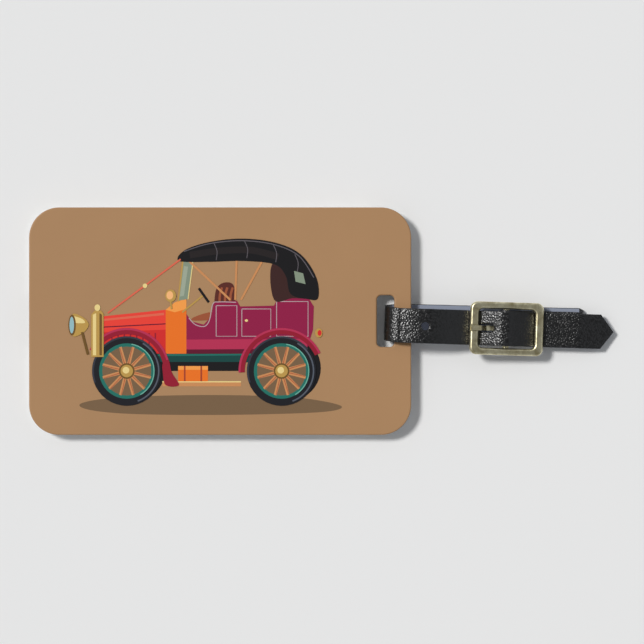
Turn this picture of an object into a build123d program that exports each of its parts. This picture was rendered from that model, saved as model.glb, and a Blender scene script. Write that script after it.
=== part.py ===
"""Luggage tag: a plastic tag with a card pocket on its back, held by a buckled leather strap.

The tag lies on its back with its front face up. +X runs along the tag towards the strap, +Z out of
the front face, and the origin is the middle of the whole object's footprint, on the surface it lies on.
The strap is one strip of leather. From its pointed tip it goes left under the buckle's right bar, over
the pin, under the left bar, over the tag's end bar and down through the slot. Underneath it runs right,
folds back on itself and comes left again to wrap the buckle's pin.
"""

import os
from math import asin, atan2, cos, degrees, hypot, radians, sin, tan

from build123d import *

# --- overall sizes -------------------------------------------------------------------------------
tag_length = 101.6
tag_width = 60.5
tag_corner = 8.0
overall_length = 155.6  # from the tag's far end to the strap's tip

# --- front plate ---------------------------------------------------------------------------------
plate_thick = 2.4
plate_edge = 0.35  # rounding of the front rim
plate_back_edge = 0.35
slot_width = 4.6  # along X
slot_length = 13.7  # along Y
slot_corner = 1.2
slot_edge = 0.5
end_bar = 4.5  # material between the slot and the tag's end

# --- back tray, window and card ------------------------------------------------------------------
tray_thick = 2.6
tray_inset = 0.6  # the tray is this much smaller than the plate, all round
tray_slot_gap = 0.25  # from the tray's end to the plate's slot
tray_end_wall = 1.5
tray_end_corner = 2.0
tray_edge = 0.5
card_length = 88.9
card_width = 50.8
card_thick = 0.4
card_end_play = 0.25
card_side_play = 0.4
card_lift = 0.05  # between the card and the window under it
pocket_depth = 0.7
window_thick = 0.6
window_seat = 2.0  # ledge that the window is glued to
window_border = 3.5  # from the pocket's sides to the opening
window_play = 0.1
window_corner = 3.0
thumb_radius = 7.0

# --- strap ---------------------------------------------------------------------------------------
leather = 1.2
strap_width = 9.2
strap_yaw = -1.85  # the buckled strap lies a little askew, in degrees
strap_side = -1.13  # how far the strap sits off the slot's middle
lower_shift = 1.3  # the lower run lies this far to one side of the upper one
fixed_shift = 0.35  # the same for the run that ends at the buckle's pin
layer_gap = 0.05  # between layers that lie on each other
bight_reach = 4.3  # from the end bar's middle to the strap's middle line inside the slot
bight_radius = 3.2
rise_at = -0.6  # where the strap starts to climb from the bight to its crest
crest_at = 6.5
crest_rise = 1.15  # how far it would climb with a sharp crest
crest_radius = 25.0
entry_z = 4.42  # height of the strap's middle line under the buckle's left bar
fold_at = 47.0
landing = 7.3  # from the pin to where the run that ends there comes down onto the lower run
tip_droop = 1.4
tip_flat_to = 47.2
tip_point = 3.5
spare_hole_at = 5.94
hole_radius = 1.05
prong_hole_before = 5.2  # from the prong hole's middle to the pin
prong_hole_length = 4.0
prong_hole_width = 2.0
hump_side = 1.6  # from the pin to where the strap levels out over it
tab_length = 4.7  # what is left of the strap past its wrap round the pin

# --- buckle --------------------------------------------------------------------------------------
buckle_at = 27.5  # the pin's distance from the end bar's middle
frame_length = 19.6
frame_width = 14.1
frame_thick = 1.7
frame_opening_length = 15.1
frame_opening_width = 10.4
frame_corner = 1.9
frame_opening_corner = 1.2
frame_edge = 0.6
frame_low_edge = 0.25
pin_radius = 0.85
pin_play = 0.05  # the leather's clearance round the pin
lug_length = 2.4
frame_tilt = 4.5  # the buckle's left side lies higher than its right, in degrees
prong_width = 1.3
prong_thick = 1.0
eye_play = 0.1
eye_wall = 0.8
eye_gap = 0.35  # between the prong's eye and the leather beside it
notch_depth = 0.45
notch_play = 0.25

# --- places worked out from the sizes ------------------------------------------------------------
plate_low = tray_thick
plate_top = plate_low + plate_thick
tag_left = -overall_length / 2
tag_right = tag_left + tag_length
tag_middle = (tag_left + tag_right) / 2
bar_x = tag_right - end_bar / 2
slot_left = tag_right - end_bar - slot_width
slot_x = slot_left + slot_width / 2

tray_left = tag_left + tray_inset
tray_right = slot_left - tray_slot_gap
pocket_right = tray_right - tray_end_wall
pocket_width = card_width + 2 * card_side_play
pocket_floor = tray_thick - pocket_depth
window_left = tray_left + thumb_radius + window_seat + 1.0
window_right = pocket_right - window_border
window_width = pocket_width - 2 * window_border
window_x = (window_left + window_right) / 2
window_length = window_right - window_left
card_right = pocket_right - card_end_play
card_x = card_right - card_length / 2

fold_radius = (leather + layer_gap) / 2
run_low = leather / 2
run_fixed = run_low + 2 * fold_radius
run_tip = run_fixed + leather + layer_gap
bar_offset = (frame_length + frame_opening_length) / 4  # from the pin to the middle of an end bar
bar_half = (frame_length - frame_opening_length) / 4
wrap_radius = pin_radius + pin_play + leather / 2
pin_z = run_low + leather / 2 + 0.7 + wrap_radius + leather / 2
hump_z = pin_z + wrap_radius + leather + layer_gap
tilt_sin, tilt_cos = sin(radians(frame_tilt)), cos(radians(frame_tilt))
rest_z = run_tip + leather / 2 + layer_gap
frame_mid_z = rest_z + (bar_offset + bar_half) * tilt_sin + frame_thick / 2 * tilt_cos
frame_rise = (frame_mid_z - pin_z) / tilt_cos  # from the pin's axis to the frame's middle plane

# the run that ends at the pin: its slope, and where it meets the wrap
land_at = buckle_at + landing
slope = degrees(atan2(pin_z - run_fixed, landing))
slope += degrees(asin(wrap_radius / hypot(pin_z - run_fixed, landing)))
slope_sin, slope_cos = sin(radians(slope)), cos(radians(slope))
wrap_start = (buckle_at + wrap_radius * slope_sin, pin_z + wrap_radius * slope_cos)
cover = leather + layer_gap + 0.03
over_slope = (wrap_start[0] + cover * slope_sin, wrap_start[1] + cover * slope_cos)

strap_frame = Plane(
    origin=(bar_x, strap_side, 0),
    x_dir=(cos(radians(strap_yaw)), sin(radians(strap_yaw)), 0),
    z_dir=(0, 0, 1),
)
side_view = Plane(origin=strap_frame.origin, x_dir=strap_frame.x_dir, z_dir=-strap_frame.y_dir)
tip_at = (tag_left + overall_length - bar_x) / cos(radians(strap_yaw))

bight_x = bight_radius - bight_reach
bight_top = run_low + 2 * bight_radius
crest = (crest_at, bight_top + crest_rise)
dip_left = (buckle_at - bar_offset - 1.5, entry_z)
dip_right = (buckle_at - bar_offset + 1.5, entry_z)
hump_left = (buckle_at - hump_side, hump_z)
hump_right = (over_slope[0] + (over_slope[1] - hump_z) / tan(radians(slope)), hump_z)
rest_left = (over_slope[0] + (over_slope[1] - run_tip) / tan(radians(slope)), run_tip)
rest_right = (tip_flat_to, run_tip)
tip_end = (tip_at, run_tip - tip_droop)


def shifted(side):
    """The side view's plane moved sideways across the strap."""
    return side_view.offset(-side)


def section(centre, radius, angle, side):
    """A plane across the strap, on a bend round centre, at an angle in the side view."""
    spoke = (cos(radians(angle)), sin(radians(angle)))
    place = (centre[0] + radius * spoke[0], side, centre[1] + radius * spoke[1])
    origin = strap_frame.from_local_coords(place)
    along = strap_frame.x_dir * -spoke[1] + strap_frame.z_dir * spoke[0]
    return Plane(origin=origin, x_dir=strap_frame.y_dir, z_dir=along)


os.makedirs("parts", exist_ok=True)

# --- the printed front plate ---------------------------------------------------------------------
with BuildPart() as front_plate:
    with BuildSketch(Plane.XY.offset(plate_low)):
        with Locations((tag_middle, 0)):
            RectangleRounded(tag_length, tag_width, tag_corner)
    extrude(amount=plate_thick)
    fillet(front_plate.faces().sort_by(Axis.Z)[-1].edges(), radius=plate_edge)
    fillet(front_plate.faces().sort_by(Axis.Z)[0].edges(), radius=plate_back_edge)
    with BuildSketch(Plane.XY.offset(plate_low)):
        with Locations((slot_x, 0)):
            RectangleRounded(slot_width, slot_length, slot_corner)
    extrude(amount=plate_thick, mode=Mode.SUBTRACT)
    fillet(front_plate.faces().sort_by(Axis.Z)[-1].inner_wires()[0].edges(), radius=slot_edge)
    fillet(front_plate.faces().sort_by(Axis.Z)[0].inner_wires()[0].edges(), radius=slot_edge)
front_plate.part.label = "front_plate"
export_step(front_plate.part, "parts/front_plate.step")

# --- the tray on the back, with its card pocket --------------------------------------------------
with BuildPart() as card_frame:
    with BuildSketch() as tray_outline:
        with Locations(((tray_left + tray_right) / 2, 0)):
            Rectangle(tray_right - tray_left, tag_width - 2 * tray_inset)
        fillet(tray_outline.vertices().group_by(Axis.X)[0], radius=tag_corner - tray_inset)
        fillet(tray_outline.vertices().group_by(Axis.X)[-1], radius=tray_end_corner)
    extrude(amount=tray_thick)
    fillet(card_frame.faces().sort_by(Axis.Z)[0].edges(), radius=tray_edge)
    with BuildSketch(Plane.XY.offset(pocket_floor)):
        with Locations(((tray_left - 1 + pocket_right) / 2, 0)):
            Rectangle(pocket_right - tray_left + 1, pocket_width)
    extrude(amount=pocket_depth, mode=Mode.SUBTRACT)
    with BuildSketch(Plane.XY.offset(pocket_floor)):
        with Locations((window_x, 0)):
            RectangleRounded(
                window_length + 2 * window_seat, window_width + 2 * window_seat, window_corner + window_seat
            )
    extrude(amount=-window_thick, mode=Mode.SUBTRACT)
    with BuildSketch():
        with Locations((window_x, 0)):
            RectangleRounded(window_length, window_width, window_corner)
        with Locations((tray_left, 0)):
            Circle(thumb_radius)
    extrude(amount=pocket_floor, mode=Mode.SUBTRACT)
card_frame.part.label = "card_frame"
export_step(card_frame.part, "parts/card_frame.step")

with BuildPart() as card_window:
    with BuildSketch(Plane.XY.offset(pocket_floor)):
        with Locations((window_x, 0)):
            RectangleRounded(
                window_length + 2 * window_seat - 2 * window_play,
                window_width + 2 * window_seat - 2 * window_play,
                window_corner + window_seat - window_play,
            )
    extrude(amount=-window_thick)
card_window.part.label = "card_window"
export_step(card_window.part, "parts/card_window.step")

with BuildPart() as address_card:
    with BuildSketch(Plane.XY.offset(pocket_floor + card_lift)):
        with Locations((card_x, 0)):
            Rectangle(card_length, card_width)
    extrude(amount=card_thick)
address_card.part.label = "address_card"
export_step(address_card.part, "parts/address_card.step")

# --- the strap -----------------------------------------------------------------------------------
bend_steps = 8
with BuildPart() as strap_bight:
    for step in range(bend_steps + 1):
        turn = step / bend_steps
        middle = (bight_x, run_low + bight_radius)
        with BuildSketch(section(middle, bight_radius, 90 + 180 * turn, lower_shift * turn)):
            Rectangle(strap_width, leather)
    loft()

with BuildPart() as strap_fold:
    for step in range(bend_steps + 1):
        turn = step / bend_steps
        drift = lower_shift + (fixed_shift - lower_shift) * turn
        middle = (fold_at, run_low + fold_radius)
        with BuildSketch(section(middle, fold_radius, -90 + 180 * turn, drift)):
            Rectangle(strap_width, leather)
    loft()

with BuildPart() as strap:
    # the run that ends at the pin, wrapped round it and tucked under itself
    with BuildSketch(shifted(fixed_shift)):
        with BuildLine():
            FilletPolyline((fold_at, run_fixed), (land_at, run_fixed), wrap_start, radius=[2.0])
            ThreePointArc(
                wrap_start, (buckle_at - wrap_radius, pin_z), (buckle_at, pin_z - wrap_radius)
            )
            FilletPolyline(
                (buckle_at, pin_z - wrap_radius),
                (buckle_at + 0.9, pin_z - wrap_radius),
                (buckle_at + 2.5, run_fixed),
                (buckle_at + tab_length, run_fixed),
                radius=[1.3, 2.0],
            )
        trace(line_width=leather)
    extrude(amount=strap_width / 2, both=True)
    # room for the prong's eye
    with BuildSketch(side_view):
        with Locations((buckle_at, pin_z)):
            Circle(wrap_radius + leather / 2 + 0.03)
    extrude(amount=prong_width / 2 + eye_gap, both=True, mode=Mode.SUBTRACT)
    # the lower run
    with BuildSketch(shifted(lower_shift)):
        with BuildLine():
            Line((bight_x, run_low), (fold_at, run_low))
        trace(line_width=leather)
    extrude(amount=strap_width / 2, both=True)
    add(strap_bight.part)
    add(strap_fold.part)
    # the free run, out to the tip
    with BuildSketch(side_view):
        with BuildLine():
            FilletPolyline(
                tip_end,
                rest_right,
                rest_left,
                hump_right,
                hump_left,
                dip_right,
                dip_left,
                crest,
                (rise_at, bight_top),
                (bight_x, bight_top),
                radius=[10.0, 2.6, 3.0, 3.0, 2.5, 4.0, crest_radius, 1.5],
            )
        trace(line_width=leather)
    extrude(amount=strap_width / 2, both=True)
    # the pointed tip
    with BuildSketch(strap_frame):
        with BuildLine():
            Polyline(
                (tip_at - tip_point, strap_width / 2),
                (tip_at + 2, strap_width / 2),
                (tip_at + 2, 0),
                (tip_at, 0),
                (tip_at - tip_point, strap_width / 2),
            )
        make_face()
        with BuildLine():
            Polyline(
                (tip_at - tip_point, -strap_width / 2),
                (tip_at + 2, -strap_width / 2),
                (tip_at + 2, 0),
                (tip_at, 0),
                (tip_at - tip_point, -strap_width / 2),
            )
        make_face()
    extrude(amount=run_tip + leather, mode=Mode.SUBTRACT)
    # the spare hole and the prong's hole
    with BuildSketch(strap_frame.offset(bight_top - 2)):
        with Locations((spare_hole_at, 0)):
            Circle(hole_radius)
    extrude(amount=4, mode=Mode.SUBTRACT)
    with BuildSketch(strap_frame.offset(run_low + 1.5)):
        with Locations((buckle_at - prong_hole_before, 0)):
            SlotOverall(prong_hole_length, prong_hole_width)
    extrude(amount=6, mode=Mode.SUBTRACT)
strap.part.label = "strap"
export_step(strap.part, "parts/strap.step")

# --- the buckle ----------------------------------------------------------------------------------
ring_middle = Plane(
    origin=strap_frame.from_local_coords(
        (buckle_at + frame_rise * tilt_sin, 0, pin_z + frame_rise * tilt_cos)
    ),
    x_dir=strap_frame.x_dir * tilt_cos - strap_frame.z_dir * tilt_sin,
    z_dir=strap_frame.x_dir * tilt_sin + strap_frame.z_dir * tilt_cos,
)
with BuildPart() as buckle_frame:
    with BuildSketch(ring_middle.offset(-frame_thick / 2)):
        RectangleRounded(frame_length, frame_width, frame_corner)
        RectangleRounded(
            frame_opening_length, frame_opening_width, frame_opening_corner, mode=Mode.SUBTRACT
        )
    extrude(amount=frame_thick)
    upward = Axis(ring_middle.origin, ring_middle.z_dir)
    fillet(buckle_frame.faces().sort_by(upward)[-1].edges(), radius=frame_edge)
    fillet(buckle_frame.faces().sort_by(upward)[0].edges(), radius=frame_low_edge)
    # the notch that the prong's tip lies in
    with BuildSketch(ring_middle.offset(frame_thick / 2 - notch_depth)):
        with Locations((-bar_offset, 0)):
            Rectangle(frame_length - frame_opening_length, prong_width + 2 * notch_play)
    extrude(amount=notch_depth, mode=Mode.SUBTRACT)
    # the pin and the lugs that carry it
    with BuildSketch(side_view):
        with Locations((buckle_at, pin_z)):
            Circle(pin_radius)
    extrude(amount=frame_width / 2 - 0.3, both=True)
    with BuildSketch(ring_middle.offset(-frame_rise - pin_radius)):
        for side in (-1, 1):
            with Locations((0, side * (frame_width + frame_opening_width) / 4)):
                Rectangle(lug_length, (frame_width - frame_opening_width) / 2 - 0.5)
    extrude(amount=frame_rise + pin_radius - frame_thick / 2 + 0.5)
buckle_frame.part.label = "buckle_frame"
export_step(buckle_frame.part, "parts/buckle_frame.step")

notch_z = frame_mid_z + bar_offset * tilt_sin + (frame_thick / 2 - notch_depth) * tilt_cos
prong_rest = notch_z + layer_gap + prong_thick / 2
with BuildPart() as buckle_prong:
    with BuildSketch(side_view):
        with BuildLine():
            FilletPolyline(
                (buckle_at - bar_offset - 0.7, prong_rest + 0.7 * tilt_sin),
                (buckle_at - bar_offset + 1.75, prong_rest - 1.0 * tilt_sin),
                (buckle_at - bar_offset + 3.1, entry_z + 0.6),
                (buckle_at - 1.5, pin_z + 0.05),
                radius=[0.7, 0.9],
            )
        trace(line_width=prong_thick)
        with Locations((buckle_at, pin_z)):
            Circle(pin_radius + eye_play + eye_wall)
            Circle(pin_radius + eye_play, mode=Mode.SUBTRACT)
    extrude(amount=prong_width / 2, both=True)
buckle_prong.part.label = "buckle_prong"
export_step(buckle_prong.part, "parts/buckle_prong.step")
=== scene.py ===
"""Luggage tag: materials, the leather strap, the printed picture, and the studio."""

import math

import bmesh
import bpy
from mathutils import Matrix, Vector
from mathutils.noise import noise


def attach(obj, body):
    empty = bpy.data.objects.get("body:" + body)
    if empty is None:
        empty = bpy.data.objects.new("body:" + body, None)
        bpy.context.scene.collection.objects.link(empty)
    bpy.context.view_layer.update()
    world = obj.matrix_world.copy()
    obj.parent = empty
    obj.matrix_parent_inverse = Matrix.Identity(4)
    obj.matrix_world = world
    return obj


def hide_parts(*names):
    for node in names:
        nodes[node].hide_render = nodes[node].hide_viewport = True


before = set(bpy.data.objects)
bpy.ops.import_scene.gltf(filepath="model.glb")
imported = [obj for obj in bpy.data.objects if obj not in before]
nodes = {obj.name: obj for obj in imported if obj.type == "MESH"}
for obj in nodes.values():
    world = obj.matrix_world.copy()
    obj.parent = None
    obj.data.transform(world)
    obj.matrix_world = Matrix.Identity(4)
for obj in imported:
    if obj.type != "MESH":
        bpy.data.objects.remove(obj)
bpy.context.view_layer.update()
scene = bpy.context.scene
MM = 0.001

# ---------------------------------------------------------------- places, in mm, as in the CAD model
tag_left, tag_length = -77.8, 101.6
tag_middle = tag_left + tag_length / 2
plate_low, plate_top = 2.6, 5.0
bar_wide, slot_half = 4.5, 2.3  # the end bar, and half the slot beside it
slot_x = tag_left + tag_length - bar_wide - slot_half
bar_x = tag_left + tag_length - bar_wide / 2
strap_side, strap_yaw = -1.13, math.radians(-1.85)


def srgb(r, g, b):
    """A display colour, 0 to 255, as linear light."""
    def one(v):
        v /= 255
        return v / 12.92 if v <= 0.04045 else ((v + 0.055) / 1.055) ** 2.4
    return (one(r), one(g), one(b), 1.0)


# ---------------------------------------------------------------- material helpers
def material(name, colour=None, rough=None, specular=None):
    """A new material, its node tree and its surface shader."""
    mat = bpy.data.materials.new(name)
    mat.use_nodes = True
    shade = mat.node_tree.nodes["Principled BSDF"]
    given = (("Base Color", colour), ("Roughness", rough), ("Specular IOR Level", specular))
    for socket, value in given:
        if value is not None:
            shade.inputs[socket].default_value = value
    return mat, mat.node_tree, shade


def add(tree, kind, **values):
    """A new node; each value is one of its properties, or the default of one of its inputs."""
    node = tree.nodes.new(kind)
    for key, value in values.items():
        if hasattr(node, key):
            setattr(node, key, value)
        else:
            node.inputs[key.replace("_", " ")].default_value = value
    return node


def texture(tree, kind, **values):
    """A texture node that reads the object's own coordinates."""
    node = add(tree, kind, **values)
    coords = add(tree, "ShaderNodeTexCoord")
    tree.links.new(coords.outputs["Object"], node.inputs["Vector"])
    return node


def relief(tree, shade, height, strength, distance):
    """Bumps on the surface from a height."""
    bump = add(tree, "ShaderNodeBump", Strength=strength, Distance=distance)
    tree.links.new(height, bump.inputs["Height"])
    tree.links.new(bump.outputs["Normal"], shade.inputs["Normal"])


def noise_bump(tree, shade, scale, strength, distance, detail=4.0):
    grain = texture(tree, "ShaderNodeTexNoise", Scale=scale, Detail=detail)
    relief(tree, shade, grain.outputs["Fac"], strength, distance)


def blend(tree, factor, low, high):
    """From the low colour to the high one; each is a colour or a node's output."""
    mix = add(tree, "ShaderNodeMix", data_type="RGBA")
    tree.links.new(factor, mix.inputs["Factor"])
    for socket, value in (("A", low), ("B", high)):
        if isinstance(value, tuple):
            mix.inputs[socket].default_value = value
        else:
            tree.links.new(value, mix.inputs[socket])
    return mix.outputs["Result"]


def compare(tree, value, kind, limit):
    node = add(tree, "ShaderNodeMath", operation=kind)
    tree.links.new(value, node.inputs[0])
    node.inputs[1].default_value = limit
    return node.outputs[0]


def combine(tree, kind, a, b):
    node = add(tree, "ShaderNodeMath", operation=kind)
    tree.links.new(a, node.inputs[0])
    tree.links.new(b, node.inputs[1])
    return node.outputs[0]


def within(tree, value, centre, half):
    """1 where the value lies nearer the centre than half."""
    away = compare(tree, value, "SUBTRACT", centre)
    size = add(tree, "ShaderNodeMath", operation="ABSOLUTE")
    tree.links.new(away, size.inputs[0])
    return compare(tree, size.outputs[0], "LESS_THAN", half)


def paint(obj, mat):
    obj.data.materials.clear()
    obj.data.materials.append(mat)


# ---------------------------------------------------------------- camera, light, floor
camera_data = bpy.data.cameras.new("camera")
camera = bpy.data.objects.new("camera", camera_data)
scene.collection.objects.link(camera)
scene.camera = camera
reach = 1.0  # from the camera to the printed face
sensor, shown = 36, 0.1712  # the sensor's width in mm, and the width it sees at the face in m
camera.location = (0.09 * MM, -0.23 * MM, reach + plate_top * MM)
camera_data.sensor_width = sensor
camera_data.lens = sensor * reach / shown
camera_data.clip_start = 0.01
camera_data.clip_end = 50

scene.view_settings.view_transform = "Standard"

# the room's light by height, 0 at the horizon and 1 overhead: grey walls, a bright ring, a dark
# ring and a dim ceiling
room_levels = (
    (0.0, 0.24), (0.55, 0.28), (0.7, 0.5), (0.87, 0.47), (0.93, 0.05), (0.965, 0.05), (0.99, 0.18),
)
ceiling = (0.175, 0.18, 0.187, 1)
world = bpy.data.worlds.new("studio")
scene.world = world
world.use_nodes = True
tree = world.node_tree
heading = tree.nodes.new("ShaderNodeTexCoord")
split = tree.nodes.new("ShaderNodeSeparateXYZ")
ramp = tree.nodes.new("ShaderNodeValToRGB")
tree.links.new(heading.outputs["Generated"], split.inputs[0])
tree.links.new(split.outputs["Z"], ramp.inputs["Fac"])
tree.links.new(ramp.outputs["Color"], tree.nodes["Background"].inputs["Color"])
for stop, level in room_levels:
    mark = ramp.color_ramp.elements[0] if stop == 0.0 else ramp.color_ramp.elements.new(stop)
    mark.color = (0.97 * level, level, 1.04 * level, 1)
ramp.color_ramp.elements[-1].color = ceiling
tree.nodes["Background"].inputs["Strength"].default_value = 1.0

sun_data = bpy.data.lights.new("key", "SUN")
sun_data.energy = 2.3
sun_data.angle = math.radians(12)
sun_data.color = (1.0, 0.99, 0.97)
sun = bpy.data.objects.new("key", sun_data)
scene.collection.objects.link(sun)
sun.rotation_euler = Vector((-2.93, 1.68, 4.9)).to_track_quat("Z", "Y").to_euler()

floor_size, floor_drop = 8, 0.02  # metres; mm below the tag, so the two faces don't flicker
floor_mat, _, _ = material("floor", (0.85, 0.85, 0.85, 1), 0.9, 0.1)
bpy.ops.mesh.primitive_plane_add(size=floor_size, location=(0, 0, -floor_drop * MM))
floor = bpy.context.object
floor.name = "floor"
floor.data.materials.append(floor_mat)

# ---------------------------------------------------------------- plastic, card and window
# ink lies on the plate's face and sides, not down in the slot and not near the back
tan = srgb(173, 134, 96)
plastic = (0.74, 0.74, 0.72, 1)
slot_zone_x, slot_zone_y = 3.35, 7.85  # half sizes of the zone round the slot, in mm
ink_depth, bare_rim = 0.9, 0.6  # how far ink reaches into the slot, and the bare strip at the back
plate_mat, tree, shade = material("printed_plastic", rough=0.42, specular=0.2)
coords = add(tree, "ShaderNodeTexCoord")
parts = add(tree, "ShaderNodeSeparateXYZ")
tree.links.new(coords.outputs["Object"], parts.inputs[0])
px, py, pz = parts.outputs
near_slot = combine(
    tree,
    "MULTIPLY",
    within(tree, px, slot_x * MM, slot_zone_x * MM),
    within(tree, py, 0.0, slot_zone_y * MM),
)
below_face = compare(tree, pz, "LESS_THAN", (plate_top - ink_depth) * MM)
in_slot = combine(tree, "MULTIPLY", near_slot, below_face)
near_back = compare(tree, pz, "LESS_THAN", (plate_low + bare_rim) * MM)
bare = combine(tree, "MAXIMUM", in_slot, near_back)
cloud = texture(tree, "ShaderNodeTexNoise", Scale=55.0, Detail=3.0)
dull, bright = (tuple(v * level for v in tan[:3]) + (1,) for level in (0.96, 1.05))
printed = blend(tree, cloud.outputs["Fac"], dull, bright)
tree.links.new(blend(tree, bare, printed, plastic), shade.inputs["Base Color"])
noise_bump(tree, shade, 2600.0, 0.12, 0.00004, 2.0)
paint(nodes["front_plate"], plate_mat)

tray_mat, tree, shade = material("white_plastic", (0.72, 0.72, 0.7, 1), 0.45)
noise_bump(tree, shade, 900.0, 0.15, 0.00006)
paint(nodes["card_frame"], tray_mat)

card_mat, tree, shade = material("card", srgb(236, 231, 218), 0.85)
noise_bump(tree, shade, 1500.0, 0.3, 0.00004)
paint(nodes["address_card"], card_mat)

window_mat, tree, shade = material("clear_window", (0.97, 0.985, 0.985, 1), 0.06)
shade.inputs["IOR"].default_value = 1.46
shade.inputs["Transmission Weight"].default_value = 1.0
noise_bump(tree, shade, 60.0, 0.03, 0.0002)
paint(nodes["card_window"], window_mat)

# ---------------------------------------------------------------- aged brass
brass_mat, tree, shade = material("aged_brass")
shade.inputs["Metallic"].default_value = 1.0
wear = texture(tree, "ShaderNodeTexNoise", Scale=420.0, Detail=5.0, Roughness=0.62)
ramp = add(tree, "ShaderNodeValToRGB")
patina, rubbed = ramp.color_ramp.elements
patina.position, patina.color = 0.34, (0.42, 0.36, 0.20, 1)
rubbed.position, rubbed.color = 0.62, (0.88, 0.82, 0.57, 1)
tree.links.new(wear.outputs["Fac"], ramp.inputs["Fac"])
tree.links.new(ramp.outputs["Color"], shade.inputs["Base Color"])
rough = add(tree, "ShaderNodeMapRange", To_Min=0.42, To_Max=0.26)
tree.links.new(wear.outputs["Fac"], rough.inputs["Value"])
tree.links.new(rough.outputs["Result"], shade.inputs["Roughness"])
noise_bump(tree, shade, 900.0, 0.35, 0.00008, 3.0)
paint(nodes["buckle_frame"], brass_mat)
paint(nodes["buckle_prong"], brass_mat)

# ---------------------------------------------------------------- leather
# the grain side: pebbles of uneven size, with painted shade that darkens the gaps between them
pebble_shift = 0.00035  # metres, how far noise pushes the pebbles out of line
# the first colour is painted shade for the gaps between pebbles, the second the pebbles' own black
gap_painted_shade, pebble_black = (0.0006, 0.0006, 0.0008, 1), (0.0045, 0.0045, 0.0055, 1)
grain_mat, tree, shade = material("leather_grain", (0.003, 0.003, 0.0035, 1), 0.29, 0.75)
coords = add(tree, "ShaderNodeTexCoord")
warp = texture(tree, "ShaderNodeTexNoise", Scale=900.0, Detail=2.0)
push = add(tree, "ShaderNodeVectorMath", operation="MULTIPLY_ADD")
tree.links.new(warp.outputs["Color"], push.inputs[0])
push.inputs[1].default_value = (pebble_shift, pebble_shift, pebble_shift)
tree.links.new(coords.outputs["Object"], push.inputs[2])
cells = add(tree, "ShaderNodeTexVoronoi", feature="SMOOTH_F1", Scale=2000.0, Smoothness=0.35)
tree.links.new(push.outputs[0], cells.inputs["Vector"])
pebble = add(tree, "ShaderNodeMapRange", From_Min=0.05, From_Max=0.65, To_Min=1.0, To_Max=0.0)
tree.links.new(cells.outputs["Distance"], pebble.inputs["Value"])
relief(tree, shade, pebble.outputs["Result"], 0.9, 0.00008)
# painted shade: the base colour goes darker from the pebble tops down into the gaps
pebble_tone_and_gap_shade = blend(tree, pebble.outputs["Result"], gap_painted_shade, pebble_black)
tree.links.new(pebble_tone_and_gap_shade, shade.inputs["Base Color"])


def rough_leather(name, colour, rough):
    """A cut edge or the flesh side."""
    mat, tree, shade = material(name, colour, rough)
    noise_bump(tree, shade, 2200.0, 0.8, 0.0001, 6.0)
    return mat


edge_mat = rough_leather("leather_edge", (0.010, 0.011, 0.014, 1), 0.6)
flesh_mat = rough_leather("leather_flesh", (0.27, 0.30, 0.38, 1), 0.95)

# ---------------------------------------------------------------- the strap
# its side view is a line through the middle of the leather, in mm: u along the strap from the end
# bar, z up
thick, wide = 1.2, 9.2
run_low, run_fixed, run_tip = 0.6, 1.85, 3.1  # heights of the three long runs
buckle_at, pin_z, wrap_radius = 27.5, 4.0, 1.5
entry_z, hump_z = 4.42, 6.75  # under the buckle's left bar, and over its pin
bight_top = 7.0  # over the end bar
bight_at, bight_z, bight_radius = -1.1, 3.8, 3.2
fold_at, fold_z, fold_radius = 47.0, 1.225, 0.625
tip_at = 56.28
tab_z = 2.5


def corner(before, here, after, radius, steps):
    """Points of the arc that rounds a corner of the side view."""
    a = (Vector(before) - Vector(here)).normalized()
    b = (Vector(after) - Vector(here)).normalized()
    half = a.angle(b) / 2
    cut = radius / math.tan(half)
    middle = Vector(here) + (a + b).normalized() * (radius / math.sin(half))
    start, end = Vector(here) + a * cut, Vector(here) + b * cut
    first, last = start - middle, end - middle
    sweep = first.angle(last)
    out = []
    for i in range(steps + 1):
        t = i / steps
        spoke = first * math.sin((1 - t) * sweep) + last * math.sin(t * sweep)
        out.append(middle + spoke.normalized() * radius)
    return out


def rounded(points, radii, steps=10):
    """A line through the points, with a radius at each corner."""
    out = [Vector(points[0])]
    for i, radius in enumerate(radii):
        out += corner(points[i], points[i + 1], points[i + 2], radius, steps)
    return out + [Vector(points[-1])]


def arc(centre, radius, start, end, steps):
    out = []
    for i in range(steps + 1):
        a = math.radians(start + (end - start) * i / steps)
        out.append(Vector((centre[0] + radius * math.cos(a), centre[1] + radius * math.sin(a))))
    return out


free = rounded(
    [
        (tip_at + 0.6, 1.607), (47.2, run_tip), (35.17, run_tip), (28.24, hump_z), (25.9, hump_z),
        (20.325, entry_z), (17.325, entry_z), (6.5, 8.15), (-0.6, bight_top), (bight_at, bight_top),
    ],
    [10.0, 2.6, 3.0, 3.0, 2.5, 4.0, 25.0, 1.5],
)
bight = arc((bight_at, bight_z), bight_radius, 90, 270, 28)
lower = [Vector((bight_at, run_low)), Vector((fold_at, run_low))]
fold = arc((fold_at, fold_z), fold_radius, -90, 90, 14)
fixed = rounded([(fold_at, run_fixed), (34.8, run_fixed), (28.199, 5.327)], [2.0])
wrap = arc((buckle_at, pin_z), wrap_radius, 62.22, 270, 24)
tab = rounded([(buckle_at, tab_z), (28.4, tab_z), (30.0, run_fixed), (32.2, run_fixed)], [1.3, 2.0])


def spaced(points, step):
    """The same line with more points on its long stretches."""
    out = [points[0]]
    for a, b in zip(points, points[1:]):
        length = (b - a).length
        if length < 1e-6:
            continue
        count = max(1, math.ceil(length / step))
        out += [a.lerp(b, i / count) for i in range(1, count + 1)]
    return out


line, lean = [], []  # the whole line, and how far the strap stands sideways at each point


def run(points, start, end, step=0.6):
    """Adds a stretch to the line, with its sideways shift at both ends."""
    points = spaced(points, step)
    for i, p in enumerate(points):
        if line and (p - line[-1]).length < 1e-6:
            continue
        t = i / (len(points) - 1)
        line.append(p)
        lean.append(start + (end - start) * t)


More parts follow.
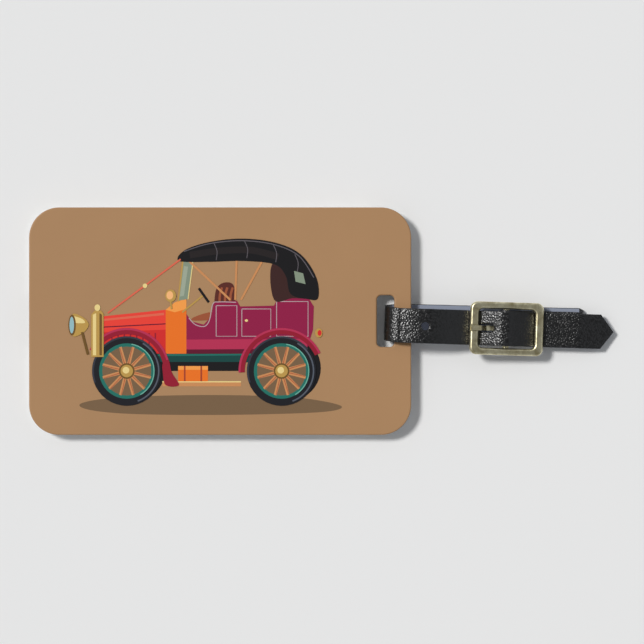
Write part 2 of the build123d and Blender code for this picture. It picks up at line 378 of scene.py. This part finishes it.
run(free, 0.0, 0.0)
run(bight, 0.0, 1.12)
run(lower, 1.12, 1.5)
run(fold, 1.5, 0.42)
run(fixed, 0.42, 0.35)
run(wrap, 0.35, 0.3)
run(tab, 0.3, 0.25)


def place(u, v, z):
    """A point of the strap's own frame in the row frame, in metres."""
    c, s = math.cos(strap_yaw), math.sin(strap_yaw)
    return Vector(((bar_x + u * c - v * s) * MM, (strap_side + u * s + v * c) * MM, z * MM))


def made(name, mesh, mats):
    """The bmesh as an object in the scene."""
    data = bpy.data.meshes.new(name)
    mesh.to_mesh(data)
    mesh.free()
    for mat in mats:
        data.materials.append(mat)
    obj = bpy.data.objects.new(name, data)
    scene.collection.objects.link(obj)
    return obj


# the strap's section: flat faces, small round edges; the outer face is the first stretch
edge = 0.16
section_across, edge_steps = 12, 3
GRAIN, EDGE, FLESH = 0, 1, 2


def section_points(half_width, half_thick):
    """(across, outward, zone) round the strap's section."""
    side, face = half_width - edge, half_thick - edge
    flat_width = 2 * half_width - 2 * edge
    out = []

    def quarter(across, off, start, steps, zone=EDGE):
        for i in steps:
            a = math.radians(start - 90 * i / edge_steps)
            out.append((across + edge * math.cos(a), off + edge * math.sin(a), zone))

    for i in range(section_across + 1):
        out.append((-side + flat_width * i / section_across, half_thick, GRAIN))
    quarter(side, face, 90, range(1, edge_steps + 1))
    quarter(side, -face, 0, range(edge_steps))
    quarter(side, -face, 0, (edge_steps,), FLESH)
    for i in range(1, section_across + 1):
        out.append((side - flat_width * i / section_across, -half_thick, FLESH))
    quarter(-side, -face, -90, range(1, edge_steps + 1))
    quarter(-side, face, 180, range(edge_steps))
    return out


wobble = 0.05  # mm, how far the edges wander
ring = section_points(wide / 2, thick / 2)
mesh = bmesh.new()
rows = []
for k, p in enumerate(line):
    before, after = line[max(k - 1, 0)], line[min(k + 1, len(line) - 1)]
    along = (after - before).normalized()
    out = Vector((-along.y, along.x)) * -1  # the grain side: outside of the loop
    row = []
    for across, off, _ in ring:
        v = across + lean[k] + wobble * noise(Vector((k * 0.13, across * 0.4, 3.1)))
        row.append(mesh.verts.new(place(p.x + out.x * off, v, p.y + out.y * off)))
    rows.append(row)
for k in range(len(rows) - 1):
    for i in range(len(ring)):
        j = (i + 1) % len(ring)
        face = mesh.faces.new((rows[k][i], rows[k][j], rows[k + 1][j], rows[k + 1][i]))
        zones = {ring[i][2], ring[j][2]}
        face.material_index = zones.pop() if len(zones) == 1 else EDGE
        face.smooth = True
for loop in (rows[0], rows[-1][::-1]):
    face = mesh.faces.new(loop)
    face.material_index = EDGE
bmesh.ops.recalc_face_normals(mesh, faces=mesh.faces[:])
strap = made("leather_strap", mesh, (grain_mat, edge_mat, flesh_mat))


# ---------------------------------------------------------------- cuts in the strap
def cutter(name, outline, low, high):
    """A prism over an outline in the strap's own frame, in mm."""
    mesh = bmesh.new()
    bottom = [mesh.verts.new(place(u, v, low)) for u, v in outline]
    top = [mesh.verts.new(place(u, v, high)) for u, v in outline]
    mesh.faces.new(bottom[::-1])
    mesh.faces.new(top)
    for i in range(len(outline)):
        j = (i + 1) % len(outline)
        mesh.faces.new((bottom[i], bottom[j], top[j], top[i]))
    bmesh.ops.recalc_face_normals(mesh, faces=mesh.faces[:])
    return made(name, mesh, (edge_mat,))


def slot_outline(u, length, width, count=14):
    """A slot with round ends, along the strap."""
    out = []
    half = max(length / 2 - width / 2, 0)
    for start, shift in ((-90, half), (90, -half)):
        for i in range(count + 1):
            a = math.radians(start + 180 * i / count)
            out.append((u + shift + width / 2 * math.cos(a), width / 2 * math.sin(a)))

    def apart(p, q):
        return (p[0] - q[0]) ** 2 + (p[1] - q[1]) ** 2 > 1e-8

    return [p for i, p in enumerate(out) if i == 0 or apart(p, out[i - 1])]


def oval_cutter(name, centre, radius, half, count=48):
    """A cylinder across the strap, round a centre in the side view."""
    mesh = bmesh.new()
    near, far = [], []
    for i in range(count):
        a = math.radians(360 / count * i)
        u, z = centre[0] + radius * math.cos(a), centre[1] + radius * math.sin(a)
        near.append(mesh.verts.new(place(u, -half, z)))
        far.append(mesh.verts.new(place(u, half, z)))
    mesh.faces.new(near)
    mesh.faces.new(far[::-1])
    for i in range(count):
        j = (i + 1) % count
        mesh.faces.new((near[i], far[i], far[j], near[j]))
    bmesh.ops.recalc_face_normals(mesh, faces=mesh.faces[:])
    return made(name, mesh, (edge_mat,))


shoulder = tip_at - 3.5  # where the strap starts to narrow to its point
tip_cut = [
    (shoulder, wide / 2), (tip_at, 0.0), (shoulder, -wide / 2), (shoulder, -7), (tip_at + 3, -7),
    (tip_at + 3, 7), (shoulder, 7),
]
tools = [
    cutter("cut_spare", slot_outline(5.94, 2.1, 2.099), 5.0, 9.5),
    cutter("cut_prong", slot_outline(22.3, 4.0, 2.0), 2.1, 8.1),
    cutter("cut_tip", tip_cut, 0.2, 7),
]
# room for the prong's eye in the leather that wraps the pin
room = oval_cutter("cut_eye", (buckle_at, pin_z), 2.13, 1.0)
tools.append(room)
for tool in tools:
    bpy.context.view_layer.objects.active = strap
    cut = strap.modifiers.new(tool.name, "BOOLEAN")
    cut.operation = "DIFFERENCE"
    cut.solver = "EXACT"
    cut.object = tool
    cut.use_self = tool == room
depsgraph = bpy.context.evaluated_depsgraph_get()
result = bpy.data.meshes.new_from_object(strap.evaluated_get(depsgraph))


def skins_of(mesh):
    """The mesh's faces in groups that hang together, the smallest first."""
    seen, skins = set(), []
    for start in mesh.faces:
        if start in seen:
            continue
        skin, todo = [], [start]
        seen.add(start)
        while todo:
            here = todo.pop()
            skin.append(here)
            for near in {face for side in here.edges for face in side.link_faces} - seen:
                seen.add(near)
                todo.append(near)
        skins.append(skin)
    return sorted(skins, key=len)


merge = 0.0002 * MM  # the cuts leave points closer than this
mesh = bmesh.new()
mesh.from_mesh(result)
bmesh.ops.remove_doubles(mesh, verts=mesh.verts[:], dist=merge)
bmesh.ops.dissolve_degenerate(mesh, edges=mesh.edges[:], dist=merge)
# slivers that the cuts leave outside the strap's one closed skin
for skin in skins_of(mesh)[:-1]:
    bmesh.ops.delete(mesh, geom=skin, context="FACES")
bmesh.ops.triangulate(mesh, faces=[f for f in mesh.faces if len(f.verts) > 4])
mesh.to_mesh(result)
mesh.free()
strap.modifiers.clear()
strap.data = result
for tool in tools:
    bpy.data.objects.remove(tool)
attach(strap, "strap")
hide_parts("strap")

# ---------------------------------------------------------------- the printed picture
# a plain side view of an open touring car, drawn round its own origin
ink_colours = {
    "shade": (122, 97, 71), "black": (20, 19, 22), "soot": (36, 30, 31), "umber": (60, 34, 32),
    "tyre": (26, 27, 33), "tread": (52, 55, 66), "slate": (86, 92, 104), "grey": (96, 90, 96),
    "red": (214, 44, 42), "scarlet": (236, 66, 54), "wine": (150, 24, 48), "maroon": (98, 16, 44),
    "plum": (146, 26, 70), "rose": (184, 48, 84), "piping": (188, 168, 172), "coral": (226, 104, 80),
    "rust": (164, 66, 44), "orange": (238, 116, 34), "amber": (248, 160, 76), "peach": (250, 186, 124),
    "brass": (190, 152, 78), "gilt": (236, 212, 142), "bronze": (112, 82, 38), "teal": (34, 112, 100),
    "pine": (18, 70, 66), "mint": (110, 178, 160), "pane": (134, 148, 128), "haze": (160, 170, 150),
    "sky": (150, 190, 196), "hide": (92, 42, 34), "tan_hide": (158, 84, 54), "spoke": (176, 92, 62),
    "wood": (206, 142, 90),
}
inks = {}
ink_height = plate_top + 0.004  # of the layer being laid
ink_step = 0.0025  # from each layer to the next
picture = None
art_x, art_y, art_scale = -5.0, 0.6, 1.1  # the origin's place on the tag in mm, and mm to a unit
curve_steps, disc_steps, band_steps = 6, 40, 44


def ink(name):
    if name not in inks:
        inks[name] = material("ink_" + name, srgb(*ink_colours[name]), 0.42, 0.2)[0]
    return inks[name]


class Picture:
    """Flat shapes of ink, each just above the one before it, joined into one printed piece."""

    def __init__(self, name):
        self.name, self.mesh, self.colours = name, bmesh.new(), []

    def face(self, points, colour):
        if colour not in self.colours:
            self.colours.append(colour)
        verts = []
        for x, y in points:
            across, up = tag_middle + art_x + art_scale * x, art_y + art_scale * y
            verts.append(self.mesh.verts.new((across * MM, up * MM, ink_height * MM)))
        face = self.mesh.faces.new(verts)
        face.material_index = self.colours.index(colour)
        face.normal_update()
        if face.normal.z < 0:
            face.normal_flip()

    def done(self):
        bmesh.ops.triangulate(self.mesh, faces=self.mesh.faces[:], ngon_method="EAR_CLIP")
        obj = made(self.name, self.mesh, [ink(colour) for colour in self.colours])
        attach(obj, "tag")


def layer():
    global ink_height
    ink_height += ink_step


def flat(colour, *points):
    """A shape with straight sides."""
    layer()
    picture.face(points, colour)


def between(p0, p1, p2, p3):
    """Points of the smooth line from p1 to just before p2."""
    out = []
    for i in range(curve_steps):
        t = i / curve_steps
        out.append(tuple(
            0.5 * (
                2 * b + (c - a) * t + (2 * a - 5 * b + 4 * c - d) * t * t
                + (3 * b - a - 3 * c + d) * t ** 3
            )
            for a, b, c, d in zip(p0, p1, p2, p3)
        ))
    return out


def soft(colour, *points):
    """A closed shape with a smooth outline through its points."""
    layer()
    out = []
    for i in range(len(points)):
        out += between(*(points[(i + k - 1) % len(points)] for k in range(4)))
    picture.face(out, colour)


def oval(x, y, rx, ry, start=0.0, end=360.0, count=disc_steps):
    out = []
    for i in range(count + 1):
        a = math.radians(start + (end - start) * i / count)
        out.append((x + rx * math.cos(a), y + ry * math.sin(a)))
    return out


def disc(colour, x, y, rx, ry):
    layer()
    picture.face(oval(x, y, rx, ry)[:-1], colour)


def stroke(colour, width, *points, raise_layer=True, taper=1.0):
    """A line of ink through the points."""
    if raise_layer:
        layer()
    pts = [Vector(p) for p in points]
    left, right = [], []
    for i, p in enumerate(pts):
        along = (pts[min(i + 1, len(pts) - 1)] - pts[max(i - 1, 0)]).normalized()
        half = width / 2 * (1 + (taper - 1) * i / (len(pts) - 1))
        side = Vector((-along.y, along.x)) * half
        left.append(tuple(p + side))
        right.append(tuple(p - side))
    for i in range(len(pts) - 1):
        picture.face([left[i], left[i + 1], right[i + 1], right[i]], colour)


def bow(colour, width, *points, raise_layer=True):
    """A smooth line of ink through the points."""
    pts = [points[0], *points, points[-1]]
    out = []
    for i in range(1, len(pts) - 2):
        out += between(*pts[i - 1:i + 3])
    stroke(colour, width, *out, points[-1], raise_layer=raise_layer)


def band(colour, x, y, radius, width, start, end):
    """Part of a round ring."""
    layer()
    outer = oval(x, y, radius, radius, start, end, band_steps)
    inner = oval(x, y, radius - width, radius - width, start, end, band_steps)
    for i in range(band_steps):
        picture.face([outer[i], outer[i + 1], inner[i + 1], inner[i]], colour)


def spokes(colour, x, y, outer, width, turn, inner=1.0, count=12):
    layer()
    for i in range(count):
        a = math.radians(turn + 360 * i / count)
        root = (x + inner * math.cos(a), y + inner * math.sin(a))
        tip = (x + outer * math.cos(a), y + outer * math.sin(a))
        stroke(colour, width, root, tip, raise_layer=False, taper=0.75)


front_hub, rear_hub, wheel, guard = (-18.0, -12.6), (19.4, -12.6), 8.4, 10.4

picture = Picture("print_shadow")
soft("shade", (-29, -20.4), (-20, -19.0), (0, -18.4), (20, -18.8), (30, -20.0), (34, -21.4),
     (28, -22.6), (6, -23.2), (-16, -23.0), (-27, -22.0))
picture.done()

# far wheels, chassis and springs
picture = Picture("print_chassis")
for x, y in (front_hub, rear_hub):
    disc("black", x + 1.5, y + 0.7, 8.0, 8.0)
flat("pine", (-25.6, -8.6), (26.4, -8.2), (26.4, -10.4), (-25.6, -10.8))
stroke("teal", 0.4, (-25.4, -8.9), (26.2, -8.5))
flat("black", (-10.0, -10.4), (10.4, -10.4), (9.4, -12.6), (-9.0, -12.6))
for x, y in (front_hub, rear_hub):
    bow("teal", 0.7, (x - 7.4, y + 2.4), (x, y + 0.6), (x + 7.4, y + 2.4))
    bow("mint", 0.16, (x - 7.2, y + 2.7), (x, y + 0.95), (x + 7.2, y + 2.7))
flat("wood", (-9.4, -15.2), (9.6, -15.2), (9.6, -16.3), (-9.4, -16.3))
stroke("gilt", 0.3, (-9.4, -15.2), (9.6, -15.2))
flat("orange", (-5.6, -11.4), (1.6, -11.4), (1.6, -15.1), (-5.6, -15.1))
flat("amber", (-5.6, -11.4), (1.6, -11.4), (1.6, -12.3), (-5.6, -12.3))
for x in (-4.0, 0.0):
    stroke("rust", 0.4, (x, -11.4), (x, -15.1))
picture.done()

# bonnet, scuttle, seats and tub
picture = Picture("print_body")
flat("scarlet", (-24.0, -8.4), (-24.0, 0.6), (-8.6, 2.2), (-8.6, -8.4))
flat("red", (-24.0, -8.4), (-24.0, -3.2), (-8.6, -2.6), (-8.6, -8.4))
flat("coral", (-23.6, 0.0), (-9.0, 1.5), (-9.0, 0.9), (-23.6, -0.5))
stroke("maroon", 0.25, (-24.0, -2.0), (-8.6, -1.2))
layer()
for i in range(8):
    stroke("wine", 0.34, (-21.6 + 1.5 * i, -3.4), (-21.6 + 1.5 * i, -6.8), raise_layer=False)
flat("orange", (-8.6, -8.4), (-8.6, 2.2), (-6.4, 4.0), (-3.6, 5.0), (-3.6, -8.4))
flat("amber", (-8.6, 2.2), (-6.4, 4.0), (-3.6, 5.0), (-3.6, 2.4), (-6.4, 1.6))
soft("hide", (3.6, 0.6), (3.4, 6.4), (5.0, 8.6), (7.6, 8.4), (8.2, 5.0), (8.0, 0.6))
soft("hide", (19.0, 0.6), (19.0, 6.2), (21.0, 8.8), (25.0, 8.4), (26.2, 4.0), (25.8, 0.6))
layer()
for x in (4.4, 5.7, 7.0, 20.4, 22.0, 23.6):
    bow("tan_hide", 0.55, (x, 3.6), (x + 0.1, 5.8), (x + 0.6, 7.6), raise_layer=False)
soft("tan_hide", (-1.8, 0.4), (2.0, 1.6), (4.4, 1.4), (4.4, 0.0), (-1.8, -0.4))
flat("plum", (-3.6, -8.4), (-3.6, 1.2), (-2.4, -0.6), (0.6, -1.4), (2.4, 0.6), (3.0, 4.0),
     (8.6, 4.4), (9.4, 3.0), (17.6, 3.2), (18.4, 5.0), (25.8, 5.2), (27.2, 3.0), (27.0, -2.6),
     (25.2, -8.4))
flat("rose", (-3.6, -5.0), (25.8, -4.8), (25.2, -8.4), (-3.6, -8.4))
flat("maroon", (-3.6, -7.4), (25.4, -7.2), (25.2, -8.4), (-3.6, -8.4))
bow("piping", 0.2, (-3.0, 0.2), (-1.4, -1.4), (0.8, -1.8), (2.0, -0.2), (2.8, 3.6), (4.4, 4.1),
    (8.4, 4.0))
for left, right, top in ((3.6, 8.6, 3.2), (9.8, 16.8, 2.4), (18.2, 25.8, 4.2)):
    stroke("piping", 0.2, (left, top), (right, top), (right, -4.2), (left, -4.2), (left, top))
disc("gilt", 10.9, -0.4, 0.4, 0.3)
picture.done()

# hood, its sticks and the windscreen
picture = Picture("print_hood")
flat("pane", (-5.6, 4.4), (-3.2, 4.8), (-2.0, 13.8), (-4.4, 14.2))
flat("haze", (-5.2, 5.4), (-4.2, 5.6), (-3.2, 12.6), (-4.2, 12.8))
stroke("brass", 0.36, (-5.6, 4.2), (-4.4, 14.4))
stroke("gilt", 0.24, (-3.2, 4.7), (-2.0, 13.9))
stroke("brass", 0.4, (-4.6, 1.6), (0.6, 5.8))
stroke("black", 0.6, (-0.6, 7.4), (1.8, 4.0))
soft("umber", (17.6, 4.6), (17.0, 13.0), (22.0, 15.0), (27.2, 11.0), (27.6, 5.4), (22.0, 5.0))
for top, foot in (((-3.2, 14.2), (7.0, 4.6)), ((8.6, 15.6), (8.2, 4.6)), ((15.4, 15.2), (9.6, 4.6))):
    stroke("wood", 0.5, top, foot)
soft("black", (-5.4, 14.0), (-4.0, 16.6), (2.0, 18.6), (10.0, 19.4), (18.0, 18.4), (24.0, 15.6),
     (27.8, 10.0), (28.2, 5.0), (25.6, 4.8), (21.6, 6.0), (20.4, 10.4), (17.6, 13.2), (10.0, 14.0),
     (2.0, 13.8))
bow("soot", 1.6, (-2.8, 15.4), (4.0, 16.4), (12.0, 16.6), (18.6, 15.0))
bow("grey", 0.24, (-4.2, 16.3), (2.0, 18.2), (10.0, 18.9), (17.8, 17.9), (23.6, 15.2), (27.2, 10.0))
for x, y in ((3.0, 18.4), (10.4, 18.9), (17.4, 17.9), (22.6, 15.6)):
    bow("grey", 0.18, (x, y), (x + 0.8, y - 2.0), (x + 0.6, y - 4.2))
flat("pane", (22.8, 9.0), (25.2, 8.4), (24.6, 11.0), (22.4, 11.6))
stroke("coral", 0.4, (-5.0, 14.4), (-22.6, 1.4))
disc("gilt", -13.6, 8.0, 0.55, 0.55)
picture.done()

# mudguards and wheels
picture = Picture("print_wheels")
x, y = front_hub
band("wine", x, y, guard, 1.5, 12, 150)
band("rose", x, y, guard, 0.5, 12, 150)
soft("wine", (x + 10.1, y + 2.6), (x + 10.9, y - 0.4), (x + 12.6, y - 3.4), (x + 9.4, y - 3.4),
     (x + 8.7, y - 0.4), (x + 8.7, y + 1.8))
x, y = rear_hub
band("wine", x, y, guard, 1.5, 25, 182)
band("rose", x, y, guard, 0.5, 25, 182)
for x, y in (front_hub, rear_hub):
    disc("tyre", x, y, wheel, wheel)
    band("tread", x, y, wheel, 0.45, 40, 200)
    band("slate", x, y, 7.9, 0.35, -70, 60)
    disc("teal", x, y, 6.7, 6.7)
    band("mint", x, y, 6.7, 0.25, -60, 80)
    disc("shade", x, y, 5.9, 5.9)
    spokes("wood", x, y, 6.0, 0.85, 15)
    spokes("spoke", x, y, 5.9, 0.22, 17)
    disc("bronze", x, y, 1.9, 1.9)
    disc("brass", x, y, 1.5, 1.5)
    disc("gilt", x - 0.2, y + 0.2, 0.8, 0.8)
picture.done()

# radiator and lamps
picture = Picture("print_front")
flat("brass", (-26.6, -9.2), (-26.6, 1.0), (-25.8, 2.0), (-24.2, 2.0), (-23.6, 1.2), (-23.6, -9.2))
flat("gilt", (-26.2, -8.8), (-26.2, 1.0), (-25.4, 1.4), (-25.4, -8.8))
flat("bronze", (-24.6, -8.8), (-24.6, 1.4), (-24.0, 1.0), (-24.0, -8.8))
disc("gilt", -25.1, 2.7, 0.7, 0.8)
soft("brass", (-31.2, 1.0), (-28.6, 0.4), (-27.2, -1.4), (-28.6, -3.4), (-31.2, -4.0))
soft("gilt", (-31.0, 0.6), (-28.8, 0.0), (-28.2, -1.0), (-31.0, -0.8))
disc("bronze", -31.2, -1.5, 0.9, 2.5)
disc("sky", -31.3, -1.5, 0.55, 2.0)
stroke("bronze", 0.6, (-28.8, -3.2), (-27.4, -8.6))
disc("brass", -7.4, 5.6, 1.3, 1.5)
disc("peach", -7.6, 5.7, 0.8, 1.0)
stroke("brass", 0.4, (-7.4, 4.2), (-7.2, 2.4))
disc("brass", 28.4, -3.4, 0.9, 1.1)
disc("red", 28.6, -3.4, 0.5, 0.7)
picture.done()
